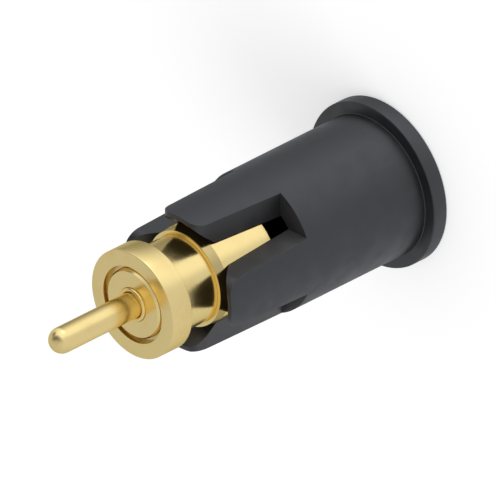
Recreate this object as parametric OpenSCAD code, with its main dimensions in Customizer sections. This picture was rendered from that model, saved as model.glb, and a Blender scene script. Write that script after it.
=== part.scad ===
// Coaxial pogo pin: a sprung centre pin inside a sprung contact ring, held in a moulded housing.
// Origin: centre of the flange's rear face. +Z runs along the axis, towards the tip of the pin.

/* [Centre pin] */
// Diameter of the pin
pin_d = 1.52; // [1.3:0.02:1.7]
// Travel of the pin into its barrel
pin_travel = 3; // [2.4:0.1:3.4]
// How far the tip still stands past the contact ring when the pin is pressed home
pin_left = 3.15; // [2:0.05:5]
// How far the pin's shoulder stands out, to be held by the rolled mouth
pin_hold = 0.09; // [0.06:0.01:0.12]
// Length of the pin's shoulder inside its barrel
pin_shoulder_len = 3.2; // [2.6:0.05:3.6]
// Tilt of the bias face on the pin's rear end, in degrees
bias_tilt = 15; // [8:1:20]
// Clearance of the bias ball in the pin barrel's bore
ball_gap = 0.06; // [0.03:0.01:0.1]

/* [Pin barrel] */
// Wall of the pin barrel at its mouth
mouth_wall = 0.14; // [0.12:0.01:0.18]
// Step from the mouth tube to the thicker barrel behind the head
barrel_step = 0.15; // [0.1:0.01:0.18]
// Height of the rolled lip above the centre disc
lip_h = 0.13; // [0.12:0.01:0.18]
// Length of the rolled mouth that holds the pin in
lip_len = 0.5; // [0.3:0.05:0.7]
// Wall of the solder cup in the tail
cup_wall = 0.55; // [0.4:0.05:0.7]
// Depth of the solder cup
cup_depth = 1.4; // [1:0.05:1.8]
// Metal between the solder cup and the full width of the bore
cup_web = 0.8; // [0.65:0.05:1.2]
// Gap between the tail and the rear face when the head is pressed home
tail_clear = 0.5; // [0.3:0.05:0.8]

/* [Sprung head] */
// Diameter of the contact ring
collar_d = 6.5; // [6.2:0.05:6.9]
// Thickness of the contact ring
collar_t = 1.5; // [1.35:0.05:1.9]
// Edge break on the contact ring
contact_edge = 0.05; // [0.03:0.01:0.1]
// Length of neck that shows at rest
neck_show = 2.5; // [2.2:0.05:2.8]
// Wall of the hollow neck
neck_wall = 0.4; // [0.3:0.02:0.5]
// How far the shoulder stands out from the neck, to be held by the crimped rim
shoulder_step = 0.14; // [0.08:0.01:0.18]
// Height of the shoulder
shoulder_h = 0.8; // [0.6:0.05:1]
// Thickness of the web that carries the centre contact
web_t = 1.4; // [1.1:0.05:1.6]
// Diameter of the bore that surrounds the centre disc
ring_bore_d = 4.65; // [4.4:0.05:4.9]
// Depth of the groove between the contact ring and the centre disc
groove_depth = 0.45; // [0.42:0.01:0.6]
// Gap round the centre disc
disc_gap = 0.25; // [0.2:0.01:0.35]
// Thickness of the centre disc
disc_t = 0.32; // [0.25:0.01:0.36]
// Chamfer on the centre disc
disc_edge = 0.09; // [0.05:0.01:0.12]
// Depth of the centre disc below the contact ring's face
disc_sink = 0.03; // [0:0.01:0.08]

/* [Ring barrel] */
// Height of the ring barrel's seat above the rear face
seat_z = 11.08; // [10.9:0.02:12]
// Outer diameter of the ring barrel
ring_barrel_d = 5.9; // [5.7:0.02:6.1]
// Wall of the ring barrel
ring_barrel_wall = 0.15; // [0.12:0.01:0.18]
// Thickness of the ring barrel's floor
floor_t = 0.3; // [0.2:0.05:0.4]
// Room left above the floor when the head is pressed home
over_travel = 0.33; // [0.1:0.01:0.6]
// Length of the crimped rim
crimp_len = 0.6; // [0.4:0.05:0.8]
// How far the crimp draws the rim in
crimp_drop = 0.08; // [0.04:0.01:0.1]
// Wall of the tail pressed into the boss
tail_wall = 0.3; // [0.25:0.01:0.35]
// How far the riveted end of the tail stands out
rivet_reach = 0.3; // [0.2:0.05:0.4]
// Height of the riveted end
rivet_h = 0.25; // [0.15:0.05:0.35]

/* [Ring terminal] */
// How far the terminal's washer stands out from the tail
washer_reach = 0.85; // [0.7:0.05:1]
// Thickness of the terminal's sheet
terminal_t = 0.3; // [0.2:0.05:0.35]
// Width of the solder tag
tag_w = 1.2; // [1:0.05:1.6]
// Gap between the end of the tag and the rear face
tag_clear = 0.5; // [0.3:0.05:0.8]
// Width of the wire notch in the end of the tag
tag_notch_w = 0.7; // [0.5:0.05:0.8]

/* [Insulators] */
// Wall of the rear insulator's sleeve
rear_sleeve_wall = 0.27; // [0.2:0.01:0.3]
// Thickness of the rear insulator's flange under the ring spring
rear_flange_t = 0.3; // [0.2:0.02:0.32]
// How far the rear insulator stands out of the riveted tail
rear_sleeve_out = 0.25; // [0.1:0.05:0.4]
// Wall of the head insulator's sleeve
head_sleeve_wall = 0.42; // [0.36:0.01:0.45]
// Thickness of the head insulator's flange under the disc
head_flange_t = 0.25; // [0.25:0.01:0.35]
// How far the head insulator reaches below the web
head_sleeve_drop = 1.8; // [1.2:0.1:2.4]

/* [Springs] */
// Wire of the ring spring
ring_wire_d = 0.3; // [0.22:0.01:0.32]
// Gap between the ring spring and the wall of its pocket
ring_spring_gap = 0.2; // [0.1:0.01:0.25]
// Turns of the ring spring
ring_turns = 7; // [5:0.5:8]
// Wire of the pin spring
pin_wire_d = 0.18; // [0.14:0.01:0.2]
// Gap between the pin spring and the pin barrel's bore
pin_spring_gap = 0.08; // [0.04:0.01:0.1]
// Turns of the pin spring
pin_turns = 16; // [12:1:20]

/* [Housing] */
// Diameter of the flange
flange_d = 10; // [9.6:0.1:12]
// Thickness of the flange
flange_t = 1; // [0.8:0.05:1.5]
// Edge break on the flange
flange_edge = 0.08; // [0.04:0.01:0.15]
// Diameter of the body where it leaves the flange
body_root_d = 8.54; // [8.2:0.02:9.2]
// How much the mould's draft takes off the body's radius by the finger tips
body_draft = 0.03; // [0.02:0.01:0.1]
// Length of the straight land that fills the panel hole
land_len = 2; // [1:0.1:4]
// How far the finger tips stand past the front of the ring barrel
finger_reach = 0.47; // [0.25:0.02:0.85]
// Length of the notches between the fingers
notch_len = 6.22; // [5.6:0.02:6.8]
// Width of a finger at its root
finger_root_w = 3.58; // [3.4:0.02:3.8]
// Width that the finger's two sides reach at its tip
finger_tip_w = 2.94; // [2.6:0.02:3.1]
// Radius of the finger's two corners
finger_corner_r = 0.85; // [0.4:0.05:1]
// Wall of the finger tips round the mouth
tip_wall = 0.29; // [0.2:0.01:0.4]
// Rounding of the outer edge of the finger tips
tip_edge_r = 0.06; // [0.04:0.01:0.15]
// Depth of the straight part of the mouth
mouth_depth = 0.05; // [0.04:0.01:0.2]
// Length of the cone that leads from the mouth to the bore
mouth_cone_len = 1.4; // [1.2:0.05:1.6]
// Wall of the centre boss that carries the ring barrel
boss_wall = 0.54; // [0.4:0.02:0.7]
// Depth of the relief round the boss below the notches
relief_below = 0.58; // [0.3:0.02:1]
// Gap between the terminal's washer and the wall of the rear recess
recess_gap = 0.5; // [0.2:0.05:0.8]
// Depth of the recess in the rear face
recess_depth = 3.4; // [3.2:0.05:3.8]

/* [Fits] */
// Radial clearance of a sliding fit
slide_gap = 0.02; // [0.01:0.005:0.03]
// Radial clearance left in a pressed fit
press_gap = 0.01; // [0.005:0.005:0.015]
// Gap between the contact ring and the ring barrel when the head is pressed home
stop_gap = 0.1; // [0.05:0.01:0.2]

/* [Hidden] */
$fn = 96;

PLASTIC = "#3f4146";
GOLD = "#d9b56a";
INSULATOR = "#1d1d1f";
STEEL = "#b9bcc0";

// Radii of the centre contact, outwards from the pin
pin_r = pin_d / 2;
lip_bore_r = pin_r + slide_gap;
pin_shoulder_r = pin_r + pin_hold;
pin_bore_r = pin_shoulder_r + slide_gap;
ball_r = pin_bore_r - ball_gap;
pin_spring_r = pin_bore_r - pin_spring_gap - pin_wire_d / 2;
mouth_tube_r = pin_bore_r + mouth_wall;
pin_barrel_r = mouth_tube_r + barrel_step;
cup_r = pin_barrel_r - cup_wall;
head_bore_r = mouth_tube_r + press_gap;
head_sleeve_r = head_bore_r + head_sleeve_wall;
web_bore_r = head_sleeve_r + press_gap;
ring_bore_r = ring_bore_d / 2;
disc_r = ring_bore_r - disc_gap;
head_flange_r = disc_r - press_gap;

// Radii of the ring barrel's tail, outwards from the pin barrel
rear_bore_r = pin_barrel_r + slide_gap;
rear_sleeve_r = rear_bore_r + rear_sleeve_wall;
tail_bore_r = rear_sleeve_r + press_gap;
tail_r = tail_bore_r + tail_wall;
rivet_r = tail_r + rivet_reach;
washer_bore_r = tail_r + press_gap;
washer_r = tail_r + washer_reach;
recess_r = washer_r + recess_gap;
boss_bore_r = tail_r + press_gap;
boss_r = boss_bore_r + boss_wall;

// Radii inwards from the ring barrel, and the housing round it
ring_barrel_r = ring_barrel_d / 2;
barrel_bore_r = ring_barrel_r - ring_barrel_wall;
shoulder_r = barrel_bore_r - slide_gap;
neck_r = shoulder_r - shoulder_step;
rim_bore_r = neck_r + slide_gap;
pocket_r = neck_r - neck_wall;
ring_spring_r = pocket_r - ring_spring_gap - ring_wire_d / 2;
rear_flange_r = ring_spring_r + ring_wire_d;
collar_r = collar_d / 2;
housing_bore_r = ring_barrel_r + press_gap;
body_root_r = body_root_d / 2;
body_tip_r = body_root_r - body_draft;
mouth_r = body_tip_r - tip_wall;

// Heights along the axis, from the rear face
head_travel = neck_show - stop_gap;
floor_z = seat_z + floor_t;
shoulder_z = floor_z + over_travel + head_travel;
shoulder_top_z = shoulder_z + shoulder_h;
crimp_z = shoulder_top_z + slide_gap;
barrel_front = crimp_z + crimp_len;
spring_seat_z = floor_z + rear_flange_t;
collar_z = barrel_front + neck_show;
face_z = collar_z + collar_t;
groove_z = face_z - groove_depth;
disc_top_z = face_z - disc_sink;
disc_z = disc_top_z - disc_t;
web_top_z = disc_z - head_flange_t;
web_z = web_top_z - web_t;
head_sleeve_z = web_z - head_sleeve_drop;
lip_top_z = disc_top_z + lip_h;
lip_under_z = lip_top_z - lip_len;
tail_z = tail_clear + head_travel;
bore_end_z = tail_z + cup_depth + cup_web;
pin_tip_z = face_z + pin_left + pin_travel;
pin_shoulder_top_z = lip_under_z - slide_gap;
pin_shoulder_z = pin_shoulder_top_z - pin_shoulder_len;
washer_z = recess_depth - terminal_t;
rivet_z = washer_z - rivet_h;
housing_h = barrel_front + finger_reach;
notch_z = housing_h - notch_len;
relief_z = notch_z - relief_below;
cone_z = housing_h - mouth_depth - mouth_cone_len;

// The ball lies under the bias face, and the spring's last coil lies under the ball
ball_z = pin_shoulder_z - (ball_r + press_gap) / cos(bias_tilt);
pin_spring_top_z = ball_z + pin_wire_d / 2 - press_gap
    - sqrt(pow(ball_r + pin_wire_d / 2, 2) - pow(pin_spring_r, 2));

// Points of an arc, from one angle to another
function arc(cx, cy, r, from, to, steps = 8) =
    [for (i = [0:steps]) let (a = from + (to - from) * i / steps) [cx + r * cos(a), cy + r * sin(a)]];

// A ring or disc turned about the axis from its half section
module turned(section) {
    rotate_extrude()
        polygon(section);
}

// Closed-end compression spring between two heights, swept as one tube
module coil(z0, z1, mean_r, wire_d, turns) {
    sides = 6;
    per_turn = 14;
    steps = round(turns * per_turn);
    end_rise = wire_d * 1.1;
    rise = z1 - z0 - wire_d;
    mid_rise = (rise - 2 * end_rise) / (turns - 2);
    function height(t) = t < 1 ? end_rise * t
        : t > turns - 1 ? rise - end_rise * (turns - t)
        : end_rise + mid_rise * (t - 1);
    points = [
        for (i = [0:steps]) for (k = [0:sides - 1])
            let (
                turn = i / per_turn,
                a = 360 * turn,
                b = 360 * k / sides,
                r = mean_r + wire_d / 2 * cos(b)
            )
            [r * cos(a), r * sin(a), z0 + wire_d / 2 + height(turn) + wire_d / 2 * sin(b)]
    ];
    skin = [
        for (i = [0:steps - 1]) for (k = [0:sides - 1])
            let (n = (k + 1) % sides, low = i * sides, high = low + sides)
            [low + k, high + k, high + n, low + n]
    ];
    start_cap = [for (k = [0:sides - 1]) k];
    end_cap = [for (k = [sides - 1:-1:0]) steps * sides + k];
    polyhedron(points, concat([start_cap], skin, [end_cap]));
}

// Plan of one finger, with its width across X and its length up Y
module finger_plan() {
    length = housing_h - notch_z;
    lean = atan((finger_root_w - finger_tip_w) / 2 / length);
    corner_y = housing_h - finger_corner_r;
    side_x = finger_tip_w / 2 + finger_corner_r * tan(lean);
    corner_x = side_x - finger_corner_r / cos(lean);
    root_z = relief_z / 2;
    root_x = finger_root_w / 2 + (notch_z - root_z) * tan(lean);
    round = arc(corner_x, corner_y, finger_corner_r, lean, 90, 6);
    mirrored = [for (i = [len(round) - 1:-1:0]) [-round[i][0], round[i][1]]];
    polygon(concat([[-root_x, root_z], [root_x, root_z]], round, mirrored));
}

// What the four notches leave: the body below them, the boss, and the fingers
module notch_keep() {
    cylinder(h = notch_z, r = flange_d);
    cylinder(h = housing_h, r = (boss_r + housing_bore_r) / 2);
    for (i = [0:3])
        rotate([90, 0, 45 + 90 * i])
            linear_extrude(flange_d)
                finger_plan();
}

// Moulded sleeve: flange, drafted body, four spring fingers, and the boss inside them
module housing() {
    section = concat(
        [
            [recess_r, 0],
            [flange_d / 2 - flange_edge, 0],
            [flange_d / 2, flange_edge],
            [flange_d / 2, flange_t - flange_edge],
            [flange_d / 2 - flange_edge, flange_t],
            [body_root_r, flange_t],
            [body_root_r, flange_t + land_len]
        ],
        arc(body_tip_r - tip_edge_r, housing_h - tip_edge_r, tip_edge_r, 0, 90, 4),
        [
            [mouth_r, housing_h],
            [mouth_r, housing_h - mouth_depth],
            [housing_bore_r, cone_z],
            [housing_bore_r, relief_z],
            [boss_r, relief_z],
            [boss_r, seat_z],
            [boss_bore_r, seat_z],
            [boss_bore_r, recess_depth],
            [recess_r, recess_depth]
        ]
    );
    color(PLASTIC)
        intersection() {
            turned(section);
            notch_keep();
        }
}

// Turned barrel with a crimped rim, and a tail riveted through the boss
module ring_barrel() {
    color(GOLD)
        turned([
            [tail_bore_r, rivet_z],
            [rivet_r, rivet_z],
            [rivet_r, washer_z],
            [tail_r, washer_z],
            [tail_r, seat_z],
            [ring_barrel_r, seat_z],
            [ring_barrel_r, crimp_z],
            [ring_barrel_r - crimp_drop, barrel_front],
            [rim_bore_r, barrel_front],
            [rim_bore_r, crimp_z + barrel_bore_r - rim_bore_r],
            [barrel_bore_r, crimp_z],
            [barrel_bore_r, floor_z],
            [tail_bore_r, floor_z]
        ]);
}

// Stamped washer under the rivet, with its solder tag bent back into the recess
module ring_terminal() {
    tag_x = washer_r - terminal_t;
    tag_h = recess_depth - tag_clear;
    color(GOLD)
        difference() {
            union() {
                translate([0, 0, washer_z])
                    cylinder(h = terminal_t, r = washer_r);
                translate([tag_x, -tag_w / 2, tag_clear])
                    cube([terminal_t, tag_w, tag_h]);
            }
            translate([0, 0, washer_z - terminal_t])
                cylinder(h = 3 * terminal_t, r = washer_bore_r);
            translate([tag_x - terminal_t, 0, tag_clear])
                rotate([0, 90, 0])
                    cylinder(h = 3 * terminal_t, d = tag_notch_w);
        }
}

// Flanged sleeve that keeps the pin barrel clear of the ring barrel's tail
module rear_insulator() {
    color(INSULATOR)
        turned([
            [rear_bore_r, rivet_z - rear_sleeve_out],
            [rear_sleeve_r, rivet_z - rear_sleeve_out],
            [rear_sleeve_r, floor_z],
            [rear_flange_r, floor_z],
            [rear_flange_r, spring_seat_z],
            [rear_bore_r, spring_seat_z]
        ]);
}

// Spring that pushes the head out
module ring_spring() {
    color(STEEL)
        coil(spring_seat_z, web_z, ring_spring_r, ring_wire_d, ring_turns);
}

// Turned contact ring with its hollow neck and the shoulder that holds it in
module ring_plunger() {
    color(GOLD)
        turned([
            [pocket_r, shoulder_z],
            [shoulder_r, shoulder_z],
            [shoulder_r, shoulder_top_z],
            [neck_r, shoulder_top_z + shoulder_step],
            [neck_r, collar_z],
            [collar_r - contact_edge, collar_z],
            [collar_r, collar_z + contact_edge],
            [collar_r, face_z - contact_edge],
            [collar_r - contact_edge, face_z],
            [ring_bore_r + contact_edge, face_z],
            [ring_bore_r, face_z - contact_edge],
            [ring_bore_r, groove_z],
            [disc_r, groove_z],
            [disc_r, web_top_z],
            [web_bore_r, web_top_z],
            [web_bore_r, web_z],
            [pocket_r, web_z]
        ]);
}

// Flanged sleeve between the contact ring and the centre contact
module head_insulator() {
    color(INSULATOR)
        turned([
            [head_bore_r, head_sleeve_z],
            [head_sleeve_r, head_sleeve_z],
            [head_sleeve_r, web_top_z],
            [head_flange_r, web_top_z],
            [head_flange_r, disc_z],
            [head_bore_r, disc_z]
        ]);
}

// Disc pressed on the mouth of the pin barrel
module centre_disc() {
    color(GOLD)
        turned([
            [head_bore_r, disc_z],
            [disc_r, disc_z],
            [disc_r, disc_top_z - disc_edge],
            [disc_r - disc_edge, disc_top_z],
            [head_bore_r, disc_top_z]
        ]);
}

// Drilled barrel of the centre pin, with its rolled mouth and the solder cup at its tail
module pin_barrel() {
    lip_r = (mouth_tube_r - lip_bore_r) / 2;
    drill_tip = pin_bore_r * tan(31);
    color(GOLD)
        turned(concat(
            [
                [0, tail_z + cup_depth],
                [cup_r, tail_z + cup_depth],
                [cup_r, tail_z],
                [pin_barrel_r, tail_z],
                [pin_barrel_r, head_sleeve_z],
                [mouth_tube_r, head_sleeve_z]
            ],
            arc(lip_bore_r + lip_r, lip_top_z - lip_r, lip_r, 0, 180, 12),
            [
                [lip_bore_r, lip_under_z + pin_bore_r - lip_bore_r],
                [pin_bore_r, lip_under_z],
                [pin_bore_r, bore_end_z],
                [0, bore_end_z - drill_tip]
            ]
        ));
}

// Round-nosed pin with the shoulder that holds it in and a bias face at its rear
module pin_plunger() {
    dome_z = pin_tip_z - pin_r;
    cut = 4 * pin_shoulder_r;
    color(GOLD)
        difference() {
            union() {
                turned([
                    [0, pin_shoulder_z - pin_shoulder_r],
                    [pin_shoulder_r, pin_shoulder_z - pin_shoulder_r],
                    [pin_shoulder_r, pin_shoulder_top_z],
                    [pin_r, pin_shoulder_top_z + pin_hold],
                    [pin_r, dome_z],
                    [0, dome_z]
                ]);
                translate([0, 0, dome_z])
                    sphere(pin_r);
            }
            translate([0, 0, pin_shoulder_z])
                rotate([0, bias_tilt, 0])
                    translate([-cut / 2, -cut / 2, -cut])
                        cube(cut);
        }
}

// Ball that turns the spring's push into a side load on the pin
module bias_ball() {
    color(STEEL)
        translate([0, 0, ball_z])
            sphere(ball_r);
}

// Spring that pushes the pin out
module pin_spring() {
    color(STEEL)
        coil(bore_end_z, pin_spring_top_z, pin_spring_r, pin_wire_d, pin_turns);
}

housing();
ring_barrel();
ring_terminal();
rear_insulator();
ring_spring();
ring_plunger();
head_insulator();
centre_disc();
pin_barrel();
pin_plunger();
bias_ball();
pin_spring();
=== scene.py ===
import math

import bmesh
import bpy
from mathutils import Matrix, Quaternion, Vector


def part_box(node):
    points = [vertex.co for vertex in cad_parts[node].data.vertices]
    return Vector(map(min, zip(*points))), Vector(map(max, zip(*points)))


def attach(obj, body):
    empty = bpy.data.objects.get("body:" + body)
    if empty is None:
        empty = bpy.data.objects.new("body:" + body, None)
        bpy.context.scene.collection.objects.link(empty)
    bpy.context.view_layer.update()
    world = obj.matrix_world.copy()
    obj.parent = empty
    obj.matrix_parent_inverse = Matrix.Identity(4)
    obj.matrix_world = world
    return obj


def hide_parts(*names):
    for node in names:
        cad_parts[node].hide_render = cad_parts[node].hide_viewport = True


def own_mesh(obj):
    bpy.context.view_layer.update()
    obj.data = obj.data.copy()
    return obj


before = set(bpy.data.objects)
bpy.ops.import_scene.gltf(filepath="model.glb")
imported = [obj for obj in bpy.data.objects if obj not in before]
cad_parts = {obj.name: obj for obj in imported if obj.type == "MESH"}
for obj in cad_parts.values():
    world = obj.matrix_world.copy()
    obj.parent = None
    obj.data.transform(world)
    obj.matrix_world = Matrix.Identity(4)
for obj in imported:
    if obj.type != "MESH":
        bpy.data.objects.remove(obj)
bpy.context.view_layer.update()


# ---------------------------------------------------------------------------------------------
# Housing
# One injection moulding in matte black glass-filled nylon: flange, drafted sleeve, four sprung
# fingers cut by the mould's side cores, and the boss inside that the ring barrel is riveted to.
# ---------------------------------------------------------------------------------------------
MM = 0.001
AROUND = 192


def low(node):
    """Lowest height of a CAD node, in millimetres."""
    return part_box(node)[0].z / MM


def top(node):
    """Highest height of a CAD node, in millimetres."""
    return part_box(node)[1].z / MM


def widest(node):
    """Outer radius of a turned CAD node, in millimetres."""
    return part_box(node)[1].x / MM


def eased(corners, steps):
    """The corners of a half section, with a short arc at each one that gives a radius."""
    line = []
    for i, (radius, height, *ease) in enumerate(corners):
        here = Vector((radius, height))
        if not ease:
            line.append(here)
            continue
        back = (Vector(corners[i - 1][:2]) - here).normalized()
        ahead = (Vector(corners[(i + 1) % len(corners)][:2]) - here).normalized()
        half = back.angle(ahead) / 2
        centre = here + (back + ahead).normalized() * ease[0] / math.sin(half)
        start = here + back * ease[0] / math.tan(half) - centre
        end = here + ahead * ease[0] / math.tan(half) - centre
        line += [
            centre + start.slerp(end, k / steps).normalized() * ease[0]
            for k in range(steps + 1)]
    return line


def turned(corners, steps=5, around=AROUND):
    """A ring or solid turned about the axis from its half section, in millimetres."""
    bm = bmesh.new()
    verts = [bm.verts.new((p.x, 0, p.y)) for p in eased(corners, steps)]
    edges = [bm.edges.new(pair) for pair in zip(verts, verts[1:])]
    if corners[0][0] > 0:
        edges.append(bm.edges.new((verts[-1], verts[0])))
    bmesh.ops.spin(
        bm, geom=verts + edges, cent=(0, 0, 0), axis=(0, 0, 1), angle=math.tau,
        steps=around, use_merge=True)
    bmesh.ops.remove_doubles(bm, verts=bm.verts, dist=1e-4)
    bmesh.ops.recalc_face_normals(bm, faces=bm.faces)
    return bm


def as_object(bm, name):
    """An object with the mesh that bm holds; bm is freed."""
    mesh = bpy.data.meshes.new(name)
    bm.to_mesh(mesh)
    bm.free()
    made = bpy.data.objects.new(name, mesh)
    bpy.context.scene.collection.objects.link(made)
    return made


def cut(first, second, operation):
    """The exact union, difference or intersection of two solids; both are used up."""
    first, second = as_object(first, "first"), as_object(second, "second")
    modifier = first.modifiers.new("cut", "BOOLEAN")
    modifier.operation, modifier.solver, modifier.object = operation, "EXACT", second
    result = bmesh.new()
    result.from_object(first, bpy.context.evaluated_depsgraph_get())
    for used in (first, second):
        bpy.data.objects.remove(used)
    bmesh.ops.remove_doubles(result, verts=result.verts, dist=1e-4)
    return result


def finished(bm, name, material, body, replaced):
    """The piece at its real size, smooth between its sharp edges, riding on its body."""
    bmesh.ops.scale(bm, vec=(MM, MM, MM), verts=bm.verts)
    for face in bm.faces:
        face.smooth = True
    piece = as_object(bm, name)
    piece.data.set_sharp_from_angle(angle=math.radians(34))
    piece.data.materials.append(material)
    even = piece.modifiers.new("even shading", "WEIGHTED_NORMAL")
    even.keep_sharp, even.weight = True, 100
    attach(piece, body)
    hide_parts(*replaced)
    return piece


def new_group(name, inputs, outputs):
    """An empty shader node group with its named sockets, and its first and last nodes."""
    group = bpy.data.node_groups.new(name, "ShaderNodeTree")
    for label, kind, default in inputs:
        socket = group.interface.new_socket(label, in_out="INPUT", socket_type=kind)
        socket.default_value = default
    for label, kind in outputs:
        group.interface.new_socket(label, in_out="OUTPUT", socket_type=kind)
    return group, group.nodes.new("NodeGroupInput"), group.nodes.new("NodeGroupOutput")


def math_node(tree, operation, a, b, clamp=False):
    """A Math node; each of a and b is a socket or a number. Returns its output."""
    node = tree.nodes.new("ShaderNodeMath")
    node.operation, node.use_clamp = operation, clamp
    for socket, value in zip(node.inputs, (a, b)):
        if isinstance(value, bpy.types.NodeSocket):
            tree.links.new(value, socket)
        else:
            socket.default_value = value
    return node.outputs[0]


def remap(tree, value, from_low, from_high, to_low, to_high):
    """A smooth-stepped Map Range. Returns its output."""
    node = tree.nodes.new("ShaderNodeMapRange")
    node.interpolation_type = "SMOOTHSTEP"
    tree.links.new(value, node.inputs["Value"])
    node.inputs["From Min"].default_value = from_low
    node.inputs["From Max"].default_value = from_high
    node.inputs["To Min"].default_value = to_low
    node.inputs["To Max"].default_value = to_high
    return node.outputs["Result"]


def vector_node(tree, operation, a, b):
    """A Vector Math node; each of a and b is a socket or a vector. Returns the node."""
    node = tree.nodes.new("ShaderNodeVectorMath")
    node.operation = operation
    for socket, value in zip(node.inputs, (a, b)):
        if isinstance(value, bpy.types.NodeSocket):
            tree.links.new(value, socket)
        else:
            socket.default_value = value
    return node


def off_axis(tree, where):
    """The distance from the part's axis, and the height, at a place. Returns both."""
    split = tree.nodes.new("ShaderNodeSeparateXYZ")
    tree.links.new(where, split.inputs[0])
    squares = [math_node(tree, "MULTIPLY", split.outputs[i], split.outputs[i]) for i in (0, 1)]
    radius = math_node(tree, "SQRT", math_node(tree, "ADD", *squares), 0.0)
    return radius, split.outputs["Z"]


def noise(tree, where, scale, detail=2.0, roughness=0.5, dimensions="3D"):
    """A Noise Texture read at where. Returns its Fac."""
    node = tree.nodes.new("ShaderNodeTexNoise")
    node.noise_dimensions = dimensions
    tree.links.new(where, node.inputs["W" if dimensions == "1D" else "Vector"])
    node.inputs["Scale"].default_value = scale
    node.inputs["Detail"].default_value = detail
    node.inputs["Roughness"].default_value = roughness
    return node.outputs["Fac"]


def mixed(tree, factor, a, b):
    """A colour mix; factor, a and b are sockets or values. Returns its output."""
    node = tree.nodes.new("ShaderNodeMix")
    node.data_type = "RGBA"
    for socket, value in ((node.inputs[0], factor), (node.inputs[6], a), (node.inputs[7], b)):
        if isinstance(value, bpy.types.NodeSocket):
            tree.links.new(value, socket)
        else:
            socket.default_value = value
    return node.outputs[2]


# Worn edges: 0 on open faces, rising to 1 where two faces meet in an outer edge
edge_wear, wear_in, wear_out = new_group(
    "worn edges", [("Width", "NodeSocketFloat", 0.00006), ("Patchiness", "NodeSocketFloat", 0.5)],
    [("Mask", "NodeSocketFloat")])
soft_edge = edge_wear.nodes.new("ShaderNodeBevel")
soft_edge.samples = 4
edge_wear.links.new(wear_in.outputs["Width"], soft_edge.inputs["Radius"])
true_face = edge_wear.nodes.new("ShaderNodeNewGeometry")
meeting = vector_node(
    edge_wear, "DOT_PRODUCT", soft_edge.outputs["Normal"], true_face.outputs["Normal"])
rubbed_where = edge_wear.nodes.new("ShaderNodeTexCoord").outputs["Object"]
rubbed = noise(edge_wear, rubbed_where, 1400.0, 3.0, 0.6)
rubbed = math_node(edge_wear, "SUBTRACT", 1.0, math_node(
    edge_wear, "MULTIPLY", wear_in.outputs["Patchiness"], rubbed))
edge_mask = remap(edge_wear, meeting.outputs["Value"], 0.995, 0.93, 0.0, 1.0)
edge_wear.links.new(
    math_node(edge_wear, "MULTIPLY", edge_mask, rubbed, True), wear_out.inputs["Mask"])

# Moulded grain: the fine spark-eroded texture of the tool, with faint flow in the colour
grain, grain_in, grain_out = new_group(
    "moulded grain",
    [("Colour", "NodeSocketColor", (0.04, 0.04, 0.045, 1)),
     ("Roughness", "NodeSocketFloat", 0.5),
     ("Depth", "NodeSocketFloat", 0.25),
     ("Wear", "NodeSocketFloat", 0.3)],
    [("Colour", "NodeSocketColor"), ("Roughness", "NodeSocketFloat"),
     ("Normal", "NodeSocketVector")])
grain_where = grain.nodes.new("ShaderNodeTexCoord").outputs["Object"]
pits = noise(grain, grain_where, 9000.0, 3.0, 0.6)
flow = noise(grain, grain_where, 260.0, 4.0, 0.55)
smears = noise(grain, grain_where, 900.0, 2.0, 0.5)
worn = grain.nodes.new("ShaderNodeGroup")
worn.node_tree = edge_wear
worn.inputs["Width"].default_value = 0.00007
worn_share = math_node(grain, "MULTIPLY", worn.outputs["Mask"], grain_in.outputs["Wear"])
shade = remap(grain, math_node(grain, "ADD", flow, math_node(grain, "MULTIPLY", pits, 0.35)),
              0.45, 0.9, 0.86, 1.14)
toned = grain.nodes.new("ShaderNodeVectorMath")
toned.operation = "SCALE"
grain.links.new(grain_in.outputs["Colour"], toned.inputs[0])
grain.links.new(shade, toned.inputs["Scale"])
grain.links.new(
    mixed(grain, worn_share, toned.outputs["Vector"], (0.16, 0.16, 0.17, 1)),
    grain_out.inputs["Colour"])
uneven = math_node(grain, "ADD", remap(grain, smears, 0.3, 0.7, -0.05, 0.06),
                   math_node(grain, "MULTIPLY", worn_share, -0.12))
grain.links.new(
    math_node(grain, "ADD", grain_in.outputs["Roughness"], uneven, True),
    grain_out.inputs["Roughness"])
grain_bump = grain.nodes.new("ShaderNodeBump")
grain_bump.inputs["Distance"].default_value = 0.000006
grain.links.new(grain_in.outputs["Depth"], grain_bump.inputs["Strength"])
grain.links.new(pits, grain_bump.inputs["Height"])
grain.links.new(grain_bump.outputs["Normal"], grain_out.inputs["Normal"])


def moulded_plastic(name, colour, roughness, depth, wear):
    """A moulded plastic with its own colour, from the moulded grain group."""
    material = bpy.data.materials.new(name)
    material.use_nodes = True
    tree = material.node_tree
    shader = tree.nodes["Principled BSDF"]
    finish = tree.nodes.new("ShaderNodeGroup")
    finish.node_tree = grain
    finish.inputs["Colour"].default_value = (*colour, 1)
    finish.inputs["Roughness"].default_value = roughness
    finish.inputs["Depth"].default_value = depth
    finish.inputs["Wear"].default_value = wear
    tree.links.new(finish.outputs["Colour"], shader.inputs["Base Color"])
    tree.links.new(finish.outputs["Roughness"], shader.inputs["Roughness"])
    tree.links.new(finish.outputs["Normal"], shader.inputs["Normal"])
    # painted shade: seen in the plating's reflections the plastic has less sheen than the lens
    # sees, so the inside of the mouth mirrored there looks darker
    looked_by = tree.nodes.new("ShaderNodeLightPath")
    tree.links.new(
        math_node(tree, "SUBTRACT", 0.5, math_node(
            tree, "MULTIPLY", looked_by.outputs["Is Glossy Ray"], 0.3)),
        shader.inputs["Specular IOR Level"])
    shader.inputs["IOR"].default_value = 1.70
    return material


housing_plastic = moulded_plastic(
    "housing plastic", colour=(0.0100, 0.0101, 0.0125), roughness=0.42, depth=0.30, wear=0.10)

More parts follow.
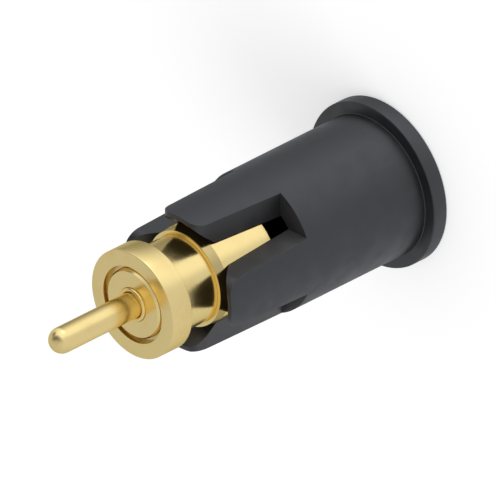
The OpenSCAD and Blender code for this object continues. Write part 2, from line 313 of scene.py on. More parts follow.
BORE_DARK_R = 2.94
BORE_LIT_R = 3.04
BORE_DARK_Z = 5.0
# Painted light on the slots: its paler colour, the heights between which it fades, its share
# there, and its share on the slot's end
PAINTED_LIGHT_COLOUR = (0.068, 0.066, 0.067, 1)
PAINTED_LIGHT_FULL_Z = 9.8
PAINTED_LIGHT_FADED_Z = 14.5
PAINTED_LIGHT_FADED_SHARE = 0.42
SLOT_END_LOW = 8.0
SLOT_END_TOP = 12.0
SLOT_END_PAINTED_LIGHT = 0.31

# Painted light: the side wall of each slot that faces one way round the axis is painted
# paler, fading with height, and so is the slot's forward-looking end between 8 and 12 mm
finish = housing_plastic.node_tree
plastic_shader = finish.nodes["Principled BSDF"]
housing_where = finish.nodes.new("ShaderNodeTexCoord").outputs["Object"]
housing_out, housing_z = off_axis(finish, housing_where)
faced = finish.nodes.new("ShaderNodeNewGeometry").outputs["Normal"]
round_axis = vector_node(finish, "CROSS_PRODUCT", (0, 0, 1), housing_where)
round_unit = finish.nodes.new("ShaderNodeVectorMath")
round_unit.operation = "NORMALIZE"
finish.links.new(round_axis.outputs["Vector"], round_unit.inputs[0])
sideways = vector_node(finish, "DOT_PRODUCT", round_unit.outputs["Vector"], faced)
painted_light_wall = math_node(
    finish, "MULTIPLY", remap(finish, sideways.outputs["Value"], 0.4, 0.8, 0.0, 1.0),
    remap(finish, housing_z, PAINTED_LIGHT_FULL_Z * MM, PAINTED_LIGHT_FADED_Z * MM, 1.0, PAINTED_LIGHT_FADED_SHARE))
forward = vector_node(finish, "DOT_PRODUCT", faced, (0, 0, 1))
painted_light_slot_end = math_node(
    finish, "MULTIPLY", remap(finish, forward.outputs["Value"], 0.6, 0.9, 0.0, SLOT_END_PAINTED_LIGHT),
    math_node(finish, "MULTIPLY",
              math_node(finish, "GREATER_THAN", housing_z, SLOT_END_LOW * MM),
              math_node(finish, "LESS_THAN", housing_z, SLOT_END_TOP * MM)))
finish.links.new(
    mixed(finish, math_node(finish, "MAXIMUM", painted_light_wall, painted_light_slot_end),
          plastic_shader.inputs["Base Color"].links[0].from_socket, PAINTED_LIGHT_COLOUR),
    plastic_shader.inputs["Base Color"])

# It fades to dead black in the deep bore, where no light falls
deep = math_node(
    finish, "MULTIPLY",
    remap(finish, housing_out, BORE_DARK_R * MM, BORE_LIT_R * MM, 1.0, 0.0),
    math_node(finish, "GREATER_THAN", housing_z, BORE_DARK_Z * MM))
for name in ("Base Color", "Specular IOR Level"):
    link = plastic_shader.inputs[name].links[0]
    finish.links.new(
        mixed(finish, deep, link.from_socket, (0.0, 0.0, 0.0, 1)), plastic_shader.inputs[name])

FLANGE_T = 1.0
FLANGE_EDGE = 0.08
BODY_ROOT_R = 4.27
BODY_TIP_R = 4.24
LAND_LEN = 2.0
TIP_EDGE = 0.03
TIP_WALL = 0.29
MOUTH_DEPTH = 0.05
MOUTH_CONE = 1.4
SLEEVE_BORE_R = 2.96
BOSS_R = 2.31
BOSS_BORE_R = 1.77
BOSS_TOP = 11.08
RECESS_R = 3.11
RECESS_DEPTH = 3.4
NOTCH_LEN = 6.22
RELIEF_BELOW = 0.58
FINGER_ROOT_W = 3.58
FINGER_TIP_W = 2.94
FINGER_CORNER_R = 0.85
CORNER_STEPS = 14
BROKEN_EDGE = 0.015
BROKEN_FROM = 40

housing_h = top("housing")
flange_r = widest("housing")
notch_z = housing_h - NOTCH_LEN
relief_z = notch_z - RELIEF_BELOW
mouth_r = BODY_TIP_R - TIP_WALL
sleeve = turned([
    (RECESS_R, 0, 0.06),
    (flange_r, 0, FLANGE_EDGE),
    (flange_r, FLANGE_T, FLANGE_EDGE),
    (BODY_ROOT_R, FLANGE_T, 0.05),
    (BODY_ROOT_R, FLANGE_T + LAND_LEN),
    (BODY_TIP_R, housing_h, TIP_EDGE),
    (mouth_r, housing_h, 0.015),
    (mouth_r, housing_h - MOUTH_DEPTH),
    (SLEEVE_BORE_R, housing_h - MOUTH_DEPTH - MOUTH_CONE, 0.1),
    (SLEEVE_BORE_R, relief_z, 0.1),
    (BOSS_R, relief_z, 0.1),
    (BOSS_R, BOSS_TOP),
    (BOSS_BORE_R, BOSS_TOP),
    (BOSS_BORE_R, RECESS_DEPTH),
    (RECESS_R, RECESS_DEPTH, 0.1),
], steps=6)


def finger_pair(turn):
    """The slab that leaves two opposite fingers standing, with their round-cornered plan."""
    lean = math.atan((FINGER_ROOT_W - FINGER_TIP_W) / 2 / NOTCH_LEN)
    root_z = relief_z / 2
    root_w = FINGER_ROOT_W + 2 * (notch_z - root_z) * math.tan(lean)
    bm = bmesh.new()
    plan = [bm.verts.new((x, -flange_r, z)) for x, z in (
        (-root_w / 2, root_z), (root_w / 2, root_z),
        (FINGER_TIP_W / 2, housing_h), (-FINGER_TIP_W / 2, housing_h))]
    face = bm.faces.new(plan)
    grown = bmesh.ops.extrude_face_region(bm, geom=[face])["geom"]
    bmesh.ops.translate(bm, vec=(0, 2 * flange_r, 0), verts=[
        v for v in grown if isinstance(v, bmesh.types.BMVert)])
    corners = [e for e in bm.edges if all(
        abs(v.co.z - housing_h) < 1e-4 for v in e.verts) and abs(
        e.verts[0].co.x - e.verts[1].co.x) < 1e-4]
    bmesh.ops.bevel(
        bm, geom=corners, affect="EDGES", offset_type="OFFSET", profile=0.5, material=-1,
        segments=CORNER_STEPS,
        offset=FINGER_CORNER_R * math.tan((math.pi / 2 - lean) / 2))
    bmesh.ops.translate(bm, vec=(0, 0, 1e-3), verts=[
        v for v in bm.verts if v.co.z > housing_h - 1e-4])
    bmesh.ops.recalc_face_normals(bm, faces=bm.faces)
    bmesh.ops.rotate(
        bm, verts=bm.verts, cent=(0, 0, 0),
        matrix=Quaternion((0, 0, 1), math.radians(turn)).to_matrix())
    return bm


def round_bar(radius, height):
    """A plain round bar that stands on the rear face."""
    return turned([(0, -0.5), (radius, -0.5), (radius, height), (0, height)], around=96)


keep = round_bar(flange_r + 0.5, notch_z)
keep = cut(keep, round_bar((BOSS_R + SLEEVE_BORE_R) / 2, housing_h + 0.5), "UNION")
keep = cut(keep, finger_pair(45), "UNION")
keep = cut(keep, finger_pair(-45), "UNION")
sleeve = cut(sleeve, keep, "INTERSECT")
bmesh.ops.recalc_face_normals(sleeve, faces=sleeve.faces)
housing = finished(
    sleeve, "moulded_housing", housing_plastic, "base", ["housing"])
broken = housing.modifiers.new("broken edges", "BEVEL")
broken.width, broken.segments, broken.profile = BROKEN_EDGE * MM, 2, 0.5
broken.limit_method, broken.angle_limit = "ANGLE", math.radians(BROKEN_FROM)
broken.use_clamp_overlap = True
housing.modifiers.move(1, 0)


# ---------------------------------------------------------------------------------------------
# Ring barrel
# Turned brass, gold over nickel. Its tail is riveted through the housing's boss, and its front
# rim is crimped in over the shoulder of the contact ring once the spring is in.
# ---------------------------------------------------------------------------------------------
# Turned marks: the fine rings that the tool leaves round the axis, under the plating
marks, marks_in, marks_out = new_group(
    "turned and plated",
    [("Colour", "NodeSocketColor", (0.98, 0.78, 0.36, 1)),
     ("Dull colour", "NodeSocketColor", (0.80, 0.55, 0.20, 1)),
     ("Roughness", "NodeSocketFloat", 0.2),
     ("Depth", "NodeSocketFloat", 0.2),
     ("Wear", "NodeSocketFloat", 0.3)],
    [("Colour", "NodeSocketColor"), ("Roughness", "NodeSocketFloat"),
     ("Normal", "NodeSocketVector")])
marks_where = marks.nodes.new("ShaderNodeTexCoord").outputs["Object"]
along = math_node(marks, "ADD", *off_axis(marks, marks_where))
fine_rings = noise(marks, along, 42000.0, 2.0, 0.6, "1D")
broad_rings = noise(marks, along, 5200.0, 2.0, 0.5, "1D")
handling = noise(marks, marks_where, 520.0, 4.0, 0.6)
specks = noise(marks, marks_where, 5200.0, 2.0, 0.5)
plated_edge = marks.nodes.new("ShaderNodeGroup")
plated_edge.node_tree = edge_wear
plated_edge.inputs["Width"].default_value = 0.00005
dulled = math_node(
    marks, "MULTIPLY", marks_in.outputs["Wear"],
    math_node(marks, "ADD", remap(marks, handling, 0.48, 0.72, 0.0, 0.55),
              remap(marks, specks, 0.62, 0.72, 0.0, 0.25)), True)
marks.links.new(
    mixed(marks, dulled, marks_in.outputs["Colour"], marks_in.outputs["Dull colour"]),
    marks_out.inputs["Colour"])
ring_share = math_node(marks, "MULTIPLY", math_node(marks, "SUBTRACT", fine_rings, 0.5), 0.10)
haze = math_node(marks, "ADD", ring_share, math_node(marks, "MULTIPLY", dulled, 0.22))
haze = math_node(marks, "SUBTRACT", haze, math_node(
    marks, "MULTIPLY", plated_edge.outputs["Mask"], 0.05))
marks.links.new(
    math_node(marks, "ADD", marks_in.outputs["Roughness"], haze, True),
    marks_out.inputs["Roughness"])
ring_bump = marks.nodes.new("ShaderNodeBump")
ring_bump.inputs["Distance"].default_value = 0.0000012
marks.links.new(marks_in.outputs["Depth"], ring_bump.inputs["Strength"])
marks.links.new(
    math_node(marks, "ADD", fine_rings, math_node(marks, "MULTIPLY", broad_rings, 1.6)),
    ring_bump.inputs["Height"])
marks.links.new(ring_bump.outputs["Normal"], marks_out.inputs["Normal"])


def plated_metal(name, colour, dull_colour, roughness, depth, wear):
    """A turned and plated metal with its own colour, from the turned marks group."""
    material = bpy.data.materials.new(name)
    material.use_nodes = True
    tree = material.node_tree
    shader = tree.nodes["Principled BSDF"]
    finish = tree.nodes.new("ShaderNodeGroup")
    finish.node_tree = marks
    finish.inputs["Colour"].default_value = (*colour, 1)
    finish.inputs["Dull colour"].default_value = (*dull_colour, 1)
    finish.inputs["Roughness"].default_value = roughness
    finish.inputs["Depth"].default_value = depth
    finish.inputs["Wear"].default_value = wear
    shader.inputs["Metallic"].default_value = 1.0
    shader.inputs["Specular Tint"].default_value = (*[c ** 0.5 for c in colour], 1)
    tree.links.new(finish.outputs["Colour"], shader.inputs["Base Color"])
    tree.links.new(finish.outputs["Roughness"], shader.inputs["Roughness"])
    tree.links.new(finish.outputs["Normal"], shader.inputs["Normal"])
    return material


def painted_shade_faces(piece, material, passes):
    """Painted shade: a second, darker material on faces whose radius, height and upward lean
    pass, in millimetres.
    """
    piece.data.materials.append(material)
    for face in piece.data.polygons:
        radius = math.hypot(face.center.x, face.center.y) / MM
        if passes(radius, face.center.z / MM, face.normal.z):
            face.material_index = 1


GOLD = (0.98, 0.765, 0.335)
DULL_GOLD = (0.86, 0.60, 0.23)
# Painted shade: a darker copy of the gold, for the crimped cone behind the rim
shaded_crimp_gold = plated_metal(
    "crimp gold painted shade", (0.59, 0.46, 0.20), (0.51, 0.37, 0.14), 0.20, 0.26, 0.5)
polished_gold = plated_metal("polished gold", GOLD, DULL_GOLD, 0.16, 0.16, 0.5)
satin_gold = plated_metal("satin gold", GOLD, DULL_GOLD, 0.22, 0.26, 0.5)

BARREL_FLOOR_T = 0.3
BARREL_WALL = 0.15
CRIMP_LEN = 0.6
CRIMP_DROP = 0.08
CRIMP_BORE_R = 2.645
TAIL_R = 1.76
TAIL_BORE_R = 1.46
RIVET_R = 2.06
RIVET_T = 0.25
barrel_r = widest("ring_barrel")
barrel_front = top("ring_barrel")
barrel_bore_r = barrel_r - BARREL_WALL
ring_barrel = finished(turned([
    (TAIL_BORE_R, low("ring_barrel"), 0.05),
    (RIVET_R, low("ring_barrel"), 0.12),
    (RIVET_R, low("ring_barrel") + RIVET_T, 0.04),
    (TAIL_R, low("ring_barrel") + RIVET_T),
    (TAIL_R, BOSS_TOP),
    (barrel_r, BOSS_TOP, 0.12),
    (barrel_r, barrel_front - CRIMP_LEN, 0.04),
    (barrel_r - CRIMP_DROP, barrel_front, 0.015),
    (CRIMP_BORE_R, barrel_front, 0.015),
    (CRIMP_BORE_R, barrel_front - CRIMP_LEN + barrel_bore_r - CRIMP_BORE_R),
    (barrel_bore_r, barrel_front - CRIMP_LEN),
    (barrel_bore_r, BOSS_TOP + BARREL_FLOOR_T),
    (TAIL_BORE_R, BOSS_TOP + BARREL_FLOOR_T),
]), "crimped_barrel", polished_gold, "base", ["ring_barrel"])
# the crimped cone takes the darker copy of the gold as painted shade
painted_shade_faces(ring_barrel, shaded_crimp_gold, lambda radius, height, lean: (
    radius > barrel_r - CRIMP_DROP - 0.01 and height > barrel_front - CRIMP_LEN
    and lean < 0.6))


# ---------------------------------------------------------------------------------------------
# Ring terminal
# Stamped from gold-plated brass sheet: a washer held under the rivet, with a solder tag bent
# back along the recess and a half-round wire notch in its end.
# ---------------------------------------------------------------------------------------------
TERMINAL_T = 0.3
TERMINAL_EDGE = 0.04
TAG_EDGE = 0.03
TAG_W = 1.2
TAG_NOTCH_R = 0.35
WASHER_BORE_R = 1.77
washer_r = widest("ring_terminal")
washer_top = top("ring_terminal")
tag_low = low("ring_terminal")


def block(low_corner, high_corner):
    """A rectangular block between two corners."""
    bm = bmesh.new()
    bmesh.ops.create_cube(bm, size=1)
    bmesh.ops.scale(bm, vec=Vector(high_corner) - Vector(low_corner), verts=bm.verts)
    bmesh.ops.translate(
        bm, vec=(Vector(high_corner) + Vector(low_corner)) / 2, verts=bm.verts)
    return bm


terminal = turned([
    (0, washer_top - TERMINAL_T),
    (washer_r, washer_top - TERMINAL_T, TERMINAL_EDGE),
    (washer_r, washer_top, TERMINAL_EDGE),
    (0, washer_top),
], steps=3, around=96)
tag = block((washer_r - TERMINAL_T, -TAG_W / 2, tag_low),
            (washer_r, TAG_W / 2, washer_top - TERMINAL_EDGE))
bmesh.ops.bevel(
    tag, geom=list(tag.edges), affect="EDGES", offset=TAG_EDGE, segments=2, profile=0.5,
    material=-1)
terminal = cut(terminal, tag, "UNION")
wire_notch = round_bar(TAG_NOTCH_R, 4 * TERMINAL_T)
bmesh.ops.rotate(wire_notch, verts=wire_notch.verts, cent=(0, 0, 0),
                 matrix=Quaternion((0, 1, 0), math.pi / 2).to_matrix())
bmesh.ops.translate(wire_notch, vec=(washer_r - 1.5 * TERMINAL_T, 0, tag_low),
                    verts=wire_notch.verts)
terminal = cut(terminal, wire_notch, "DIFFERENCE")
terminal = cut(terminal, round_bar(WASHER_BORE_R, washer_top + 1), "DIFFERENCE")
bmesh.ops.recalc_face_normals(terminal, faces=terminal.faces)
ring_terminal = finished(
    terminal, "solder_terminal", satin_gold, "base", ["ring_terminal"])


# ---------------------------------------------------------------------------------------------
# Rear insulator
# Turned black acetal sleeve with a flange that the ring spring stands on. It is pressed in the
# ring barrel's tail and keeps the moving pin barrel clear of it.
# ---------------------------------------------------------------------------------------------
insulator_plastic = moulded_plastic(
    "insulator plastic", colour=(0.008, 0.008, 0.009), roughness=0.38, depth=0.12, wear=0.1)
PIN_TUNNEL_R = 1.18
REAR_SLEEVE_R = 1.45
REAR_FLANGE_T = 0.3
rear_flange_r = widest("rear_insulator")
rear_insulator = finished(turned([
    (PIN_TUNNEL_R, low("rear_insulator"), 0.05),
    (REAR_SLEEVE_R, low("rear_insulator"), 0.05),
    (REAR_SLEEVE_R, top("rear_insulator") - REAR_FLANGE_T),
    (rear_flange_r, top("rear_insulator") - REAR_FLANGE_T, 0.03),
    (rear_flange_r, top("rear_insulator"), 0.05),
    (PIN_TUNNEL_R, top("rear_insulator"), 0.05),
], steps=3, around=96), "rear_sleeve", insulator_plastic, "base", ["rear_insulator"])


# ---------------------------------------------------------------------------------------------
# Ring spring
# Drawn stainless spring wire, wound with closed ends. It stands on the rear insulator's flange
# inside the contact ring's neck, and keeps its wound length here.
# ---------------------------------------------------------------------------------------------
spring_steel = plated_metal(
    "spring steel", (0.62, 0.62, 0.61), (0.40, 0.38, 0.35), 0.24, 0.20, 0.6)
CLOSED_TURN = 1.1
WIRE_SIDES = 10
RING_WIRE_D = 0.3
RING_TURNS = 7


def wound(node, wire_d, turns, around):
    """A spring with closed ends in a CAD spring's place: its wire's section turned and raised."""
    mean_r = widest(node) - wire_d / 2
    end_rise = CLOSED_TURN * wire_d
    open_rise = top(node) - low(node) - wire_d - 2 * end_rise
    bm = bmesh.new()
    section = bmesh.ops.create_circle(bm, cap_ends=True, segments=WIRE_SIDES, radius=wire_d / 2)
    bmesh.ops.rotate(bm, verts=section["verts"], cent=(0, 0, 0),
                     matrix=Quaternion((1, 0, 0), math.pi / 2).to_matrix())
    bmesh.ops.translate(bm, verts=section["verts"], vec=(mean_r, 0, low(node) + wire_d / 2))
    last = list(bm.verts) + list(bm.edges) + list(bm.faces)
    for share, rise in ((1, end_rise), (turns - 2, open_rise), (1, end_rise)):
        last = bmesh.ops.spin(
            bm, geom=last, cent=(0, 0, 0), axis=(0, 0, 1), dvec=(0, 0, rise / (around * share)),
            angle=math.tau * share, steps=around * share)["geom_last"]
    bmesh.ops.recalc_face_normals(bm, faces=bm.faces)
    return bm


def shortened(spring):
    """The spring gets its own copy of its mesh; nothing shortens it here."""
    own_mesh(spring)


ring_spring = finished(
    wound("ring_spring", RING_WIRE_D, RING_TURNS, around=36), "ring_coil", spring_steel,
    "base", ["ring_spring"])
shortened(ring_spring)


# ---------------------------------------------------------------------------------------------
# Contact ring
# Turned brass, gold plated: the contact ring, its hollow neck and, inside the ring barrel, the
# shoulder that the crimped rim holds back. The mating contact presses on its front face.
# ---------------------------------------------------------------------------------------------
CONTACT_EDGE = 0.05
COLLAR_T = 1.5
NECK_R = 2.64
NECK_BORE_R = 2.24
SHOULDER_R = 2.78
SHOULDER_H = 0.8
RING_BORE_R = 2.325
WEB_BORE_R = 1.45
WEB_LOW = 17.53
WEB_TOP = 18.93
LEDGE_R = 2.075
LEDGE_H = 0.24
collar_r = widest("ring_plunger")
face_z = top("ring_plunger")
shoulder_z = low("ring_plunger")
contact_ring = finished(turned([
    (NECK_BORE_R, shoulder_z, 0.04),
    (SHOULDER_R, shoulder_z, 0.05),
    (SHOULDER_R, shoulder_z + SHOULDER_H),
    (NECK_R, shoulder_z + SHOULDER_H + SHOULDER_R - NECK_R),
    (NECK_R, face_z - COLLAR_T, 0.05),
    (collar_r, face_z - COLLAR_T, CONTACT_EDGE),
    (collar_r, face_z, CONTACT_EDGE),
    (RING_BORE_R, face_z, 0.015),
    (RING_BORE_R, WEB_TOP + LEDGE_H),
    (LEDGE_R, WEB_TOP + LEDGE_H, 0.02),
    (LEDGE_R, WEB_TOP),
    (WEB_BORE_R, WEB_TOP),
    (WEB_BORE_R, WEB_LOW),
    (NECK_BORE_R, WEB_LOW, 0.1),
]), "contact_ring", satin_gold, "head", ["ring_plunger"])

# Painted shade: a darker, browner copy of the gold on the walls of the groove round the
# centre disc
shaded_groove_gold = plated_metal(
    "groove gold painted shade", (0.77, 0.60, 0.28), (0.64, 0.47, 0.19), 0.22, 0.26, 0.5)
painted_shade_faces(contact_ring, shaded_groove_gold, lambda radius, height, lean: (
    radius < RING_BORE_R + 0.001 and WEB_TOP + 0.01 < height < face_z - 0.03))


# ---------------------------------------------------------------------------------------------
# Head insulator
# Turned black acetal, pressed in the web of the contact ring. It keeps the centre contact
# apart from the ring, and the centre disc sits on its flange and covers it.
# ---------------------------------------------------------------------------------------------
HEAD_BORE_R = 1.02
HEAD_SLEEVE_R = 1.44
head_flange_r = widest("head_insulator")
head_insulator = finished(turned([
    (HEAD_BORE_R, low("head_insulator"), 0.05),
    (HEAD_SLEEVE_R, low("head_insulator"), 0.05),
    (HEAD_SLEEVE_R, WEB_TOP),
    (head_flange_r, WEB_TOP),
    (head_flange_r, top("head_insulator"), 0.02),
    (HEAD_BORE_R, top("head_insulator")),
], steps=3, around=96), "head_sleeve", insulator_plastic, "head", ["head_insulator"])


# ---------------------------------------------------------------------------------------------
# Centre disc
# Turned brass, gold plated, pressed on the mouth of the pin barrel against the insulator. It is
# the second contact face, just below the contact ring's own.
# ---------------------------------------------------------------------------------------------
DISC_CHAMFER_W = 0.10
DISC_CHAMFER_H = 0.13
centre_disc = finished(turned([
    (HEAD_BORE_R, low("centre_disc")),
    (widest("centre_disc"), low("centre_disc"), 0.03),
    (widest("centre_disc"), top("centre_disc") - DISC_CHAMFER_H),
    (widest("centre_disc") - DISC_CHAMFER_W, top("centre_disc")),
    (HEAD_BORE_R, top("centre_disc"), 0.03),
]), "contact_disc", satin_gold, "head", ["centre_disc"])


# ---------------------------------------------------------------------------------------------
# Pin barrel
# Deep-drilled brass tube, gold plated. Its mouth is rolled in over the pin's shoulder, and its
# solid tail is drilled out into a solder cup.
# ---------------------------------------------------------------------------------------------
BARREL_MOUTH_R = 1.01
LIP_BORE_R = 0.78
PIN_BORE_R = 0.87
LIP_LEN = 0.5
CUP_R = 0.61
CUP_DEPTH = 1.4
CUP_WEB = 0.8
DRILL_POINT = 31
pin_barrel_r = widest("pin_barrel")
tail_z = low("pin_barrel")
lip_top = top("pin_barrel")
lip_round = (BARREL_MOUTH_R - LIP_BORE_R) / 2 - 0.002
pin_barrel = finished(turned([
    (0, tail_z + CUP_DEPTH),
    (CUP_R, tail_z + CUP_DEPTH, 0.12),
    (CUP_R, tail_z, 0.05),
    (pin_barrel_r, tail_z, 0.08),
    (pin_barrel_r, low("head_insulator"), 0.05),
    (BARREL_MOUTH_R, low("head_insulator")),
    (BARREL_MOUTH_R, lip_top, lip_round),
    (LIP_BORE_R, lip_top, lip_round),
    (LIP_BORE_R, lip_top - LIP_LEN + PIN_BORE_R - LIP_BORE_R),
    (PIN_BORE_R, lip_top - LIP_LEN),
    (PIN_BORE_R, tail_z + CUP_DEPTH + CUP_WEB),
    (0, tail_z + CUP_DEPTH + CUP_WEB - PIN_BORE_R * math.tan(math.radians(DRILL_POINT))),
], steps=8), "rolled_barrel", polished_gold, "head", ["pin_barrel"])


# ---------------------------------------------------------------------------------------------
# Pin spring
# Fine stainless spring wire, wound with closed ends. It stands on the drilled bottom of the pin
# barrel and keeps its wound length here.
# ---------------------------------------------------------------------------------------------
PIN_WIRE_D = 0.18
PIN_TURNS = 16
pin_spring = finished(
    wound("pin_spring", PIN_WIRE_D, PIN_TURNS, around=28), "pin_coil", spring_steel,
    "head", ["pin_spring"])
shortened(pin_spring)


# ---------------------------------------------------------------------------------------------
# Bias ball
# Hardened steel ball between the pin spring and the pin's slanted end, which turns the spring's
# push into a side load. It keeps its CAD shape and takes the steel finish.
# ---------------------------------------------------------------------------------------------
bias_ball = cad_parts["bias_ball"]
bias_ball.data.materials.clear()
bias_ball.data.materials.append(spring_steel)


# ---------------------------------------------------------------------------------------------
# Centre pin
# Turned beryllium copper, gold plated: round nose, long polished shank, and inside the barrel
# a thicker shoulder whose slanted end rides on the bias ball.
# ---------------------------------------------------------------------------------------------
PIN_R = 0.76
PIN_SHOULDER_R = 0.85
PIN_HOLD = 0.09
PIN_SHOULDER_LEN = 3.2
PIN_PLAY = 0.02
BIAS_TILT = 15.0
NOSE_STEPS = 24
pin_tip = top("pin_plunger")
shoulder_top = lip_top - LIP_LEN - PIN_PLAY
shoulder_low = shoulder_top - PIN_SHOULDER_LEN
nose = [(PIN_R * math.cos(a), pin_tip - PIN_R + PIN_R * math.sin(a)) for a in (
    math.pi / 2 * k / NOSE_STEPS for k in range(NOSE_STEPS))]
pin = turned([
    (0, shoulder_low - PIN_SHOULDER_R),
    (PIN_SHOULDER_R, shoulder_low - PIN_SHOULDER_R),
    (PIN_SHOULDER_R, shoulder_top, 0.04),
    (PIN_R, shoulder_top + PIN_HOLD),
    *nose,
    (0, pin_tip),
])
slant = Vector((math.sin(math.radians(BIAS_TILT)), 0, math.cos(math.radians(BIAS_TILT))))
sliced = bmesh.ops.bisect_plane(
    pin, geom=list(pin.verts) + list(pin.edges) + list(pin.faces), dist=1e-5,
    plane_co=(0, 0, shoulder_low), plane_no=slant, clear_inner=True)
bmesh.ops.contextual_create(pin, geom=[
    e for e in sliced["geom_cut"] if isinstance(e, bmesh.types.BMEdge)])
bmesh.ops.recalc_face_normals(pin, faces=pin.faces)
centre_pin = finished(
    pin, "centre_pin", satin_gold, "pin", ["pin_plunger"])


# ---------------------------------------------------------------------------------------------
# Studio
# A wide pale floor that the part stands on by its flange, an even dome of light, one soft
# lamp, and a long lens.
# ---------------------------------------------------------------------------------------------
FLOOR_R = 3.0
FLOOR_DROP = 0.00002
FLOOR_COLOUR = (0.80, 0.80, 0.80, 1)
FLOOR_LIFT = 0.42
floor_mesh = bmesh.new()
bmesh.ops.create_circle(floor_mesh, cap_ends=True, segments=96, radius=FLOOR_R)
bmesh.ops.recalc_face_normals(floor_mesh, faces=floor_mesh.faces)
floor = as_object(floor_mesh, "floor")
floor.location.z = -FLOOR_DROP
floor_paint = bpy.data.materials.new("floor paint")
floor_paint.use_nodes = True
floor_tree = floor_paint.node_tree
floor_tree.nodes.remove(floor_tree.nodes["Principled BSDF"])
matt = floor_tree.nodes.new("ShaderNodeBsdfDiffuse")
matt.inputs["Color"].default_value = FLOOR_COLOUR
lift = floor_tree.nodes.new("ShaderNodeEmission")
seen_by = floor_tree.nodes.new("ShaderNodeLightPath")
floor_tree.links.new(
    math_node(floor_tree, "MULTIPLY", seen_by.outputs["Is Camera Ray"], FLOOR_LIFT),
    lift.inputs["Strength"])
both = floor_tree.nodes.new("ShaderNodeAddShader")
floor_tree.links.new(matt.outputs[0], both.inputs[0])
floor_tree.links.new(lift.outputs[0], both.inputs[1])
floor_tree.links.new(both.outputs[0], floor_tree.nodes["Material Output"].inputs["Surface"])
floor.data.materials.append(floor_paint)
floor.visible_glossy = False

# The lens looks from here; the panels round the part are laid out from the same direction
CAMERA_AZIMUTH = -5.8
CAMERA_ELEVATION = 36.68


def way_to(azimuth, elevation):
    """The direction from the part to a place, from its two angles in degrees."""
    a, e = math.radians(azimuth), math.radians(elevation)
    return Vector((math.sin(a) * math.cos(e), -math.cos(a) * math.cos(e), math.sin(e)))


world = bpy.data.worlds.new("studio")
world.use_nodes = True
bpy.context.scene.world = world
dome = world.node_tree
dome_where = dome.nodes.new("ShaderNodeTexCoord").outputs["Generated"]


def along_axis(axis):
    """How far the direction looked in runs along an axis, from -1 to 1."""
    return vector_node(dome, "DOT_PRODUCT", dome_where, axis).outputs["Value"]


def panel_ramp(levels):
    """The light level round the horizon, from (degrees from the lens, level) pairs."""
    ramp = dome.nodes.new("ShaderNodeValToRGB")
    dome.links.new(turn_share, ramp.inputs["Fac"])
    stops = ramp.color_ramp.elements
    while len(stops) < len(levels):
        stops.new(0.5)
    for stop, (degrees, level) in zip(stops, levels):
        stop.position = degrees / 360 + 0.5
        stop.color = (level, level, level, 1)
    return ramp.outputs["Color"]


# What the plating mirrors: a white panel beside the lens, dark flags beyond and above it, and
# mid grey walls. Three belts of it are blended by height.
height = along_axis((0, 0, 1))
turn = math_node(
    dome, "ARCTAN2", along_axis(way_to(CAMERA_AZIMUTH + 90, 0)),
    along_axis(way_to(CAMERA_AZIMUTH, 0)))
turn_share = math_node(dome, "ADD", math_node(dome, "DIVIDE", turn, math.tau), 0.5)
low_belt = panel_ramp([
    (-180, 0.50), (-150, 0.52), (-130, 0.63), (-90, 0.71), (-30, 0.69), (-6, 0.72),
    (8, 0.98), (15, 1.02), (45, 1.02), (55, 0.95), (75, 0.75), (92, 0.52), (110, 0.32),
    (132, 0.27), (150, 0.50), (180, 0.50)])
mid_belt = panel_ramp([
    (-180, 0.56), (-120, 0.60), (-60, 0.69), (-5, 0.73), (2, 0.80), (25, 1.10),
    (60, 1.08), (100, 0.90), (118, 0.70), (140, 0.56), (180, 0.56)])
high_belt = panel_ramp([
    (-180, 0.58), (-120, 0.60), (-60, 0.64), (-20, 0.55), (0, 0.40), (30, 0.28),
    (60, 0.17), (100, 0.17), (118, 0.20), (132, 0.32), (145, 0.54), (180, 0.58)])
mirrored = mixed(dome, remap(dome, height, -0.56, -0.42, 0.0, 1.0), low_belt, mid_belt)
mirrored = mixed(dome, remap(dome, height, 0.38, 0.74, 0.0, 1.0), mirrored, high_belt)
mirrored = mixed(
    dome, remap(dome, height, 0.90, 0.985, 0.0, 1.0), mirrored, (0.52, 0.52, 0.52, 1))


def patch(level, degrees, tilt, inner, outer):
    """Puts a round patch of light over what is mirrored; its edge fades between two radii."""
    near = along_axis(way_to(degrees + CAMERA_AZIMUTH, tilt))
    share = remap(dome, near, math.cos(math.radians(outer)), math.cos(math.radians(inner)),
                  0.0, 1.0)
    return mixed(dome, share, mirrored, (level, level, level, 1))


mirrored = patch(0.20, 108, 20, 6, 22)
mirrored = patch(1.9, 55, -15, 5, 17)

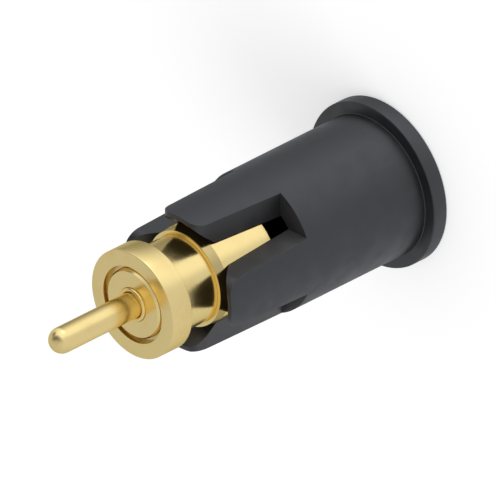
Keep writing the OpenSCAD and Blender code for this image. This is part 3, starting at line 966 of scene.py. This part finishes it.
# Everything else is lit by a dome that is white at the horizon and grey overhead
overhead = remap(dome, height, 0.10, 0.50, 1.0, 0.58)
looked_by = dome.nodes.new("ShaderNodeLightPath")
cooled = vector_node(dome, "MULTIPLY", mirrored, (1.0, 1.03, 1.09))
light = mixed(dome, looked_by.outputs["Is Glossy Ray"], overhead, cooled.outputs["Vector"])
light = mixed(dome, looked_by.outputs["Is Camera Ray"], light, (1, 1, 1, 1))
dome.links.new(light, dome.nodes["Background"].inputs["Color"])
dome.nodes["Background"].inputs["Strength"].default_value = 1.0


def soft_lamp(name, power, size, azimuth, elevation, distance):
    """A square soft lamp that looks at the middle of the part."""
    lamp = bpy.data.lights.new(name, "AREA")
    lamp.energy, lamp.shape, lamp.size = power, "SQUARE", size
    made = bpy.data.objects.new(name, lamp)
    bpy.context.scene.collection.objects.link(made)
    made.visible_glossy = False
    way = way_to(azimuth, elevation)
    middle = Vector((0, 0, top("pin_plunger") * MM / 2))
    made.location = middle + way * distance
    made.rotation_mode = "QUATERNION"
    made.rotation_quaternion = (-way).to_track_quat("-Z", "Y")


soft_lamp("key", power=0.9, size=0.35, azimuth=-60, elevation=50, distance=0.6)

# Camera, turned on its own axis so that the pin points to the lower left of the frame
CAMERA_ROLL = -116.59
CAMERA_DISTANCE = 1.2404
CAMERA_AIM = Vector((0.000309, 0.005064, 0.006806))
CAMERA_LENS = 1600.0
back = way_to(CAMERA_AZIMUTH, CAMERA_ELEVATION)
camera = bpy.data.objects.new("camera", bpy.data.cameras.new("camera"))
bpy.context.scene.collection.objects.link(camera)
camera.data.sensor_width, camera.data.lens = 36.0, CAMERA_LENS
camera.data.clip_start, camera.data.clip_end = 0.05, 20.0
camera.location = CAMERA_AIM + back * CAMERA_DISTANCE
camera.rotation_mode = "QUATERNION"
camera.rotation_quaternion = (-back).to_track_quat("-Z", "Y") @ Quaternion(
    (0, 0, 1), math.radians(CAMERA_ROLL))
bpy.context.scene.camera = camera
bpy.context.scene.view_settings.view_transform = "Standard"
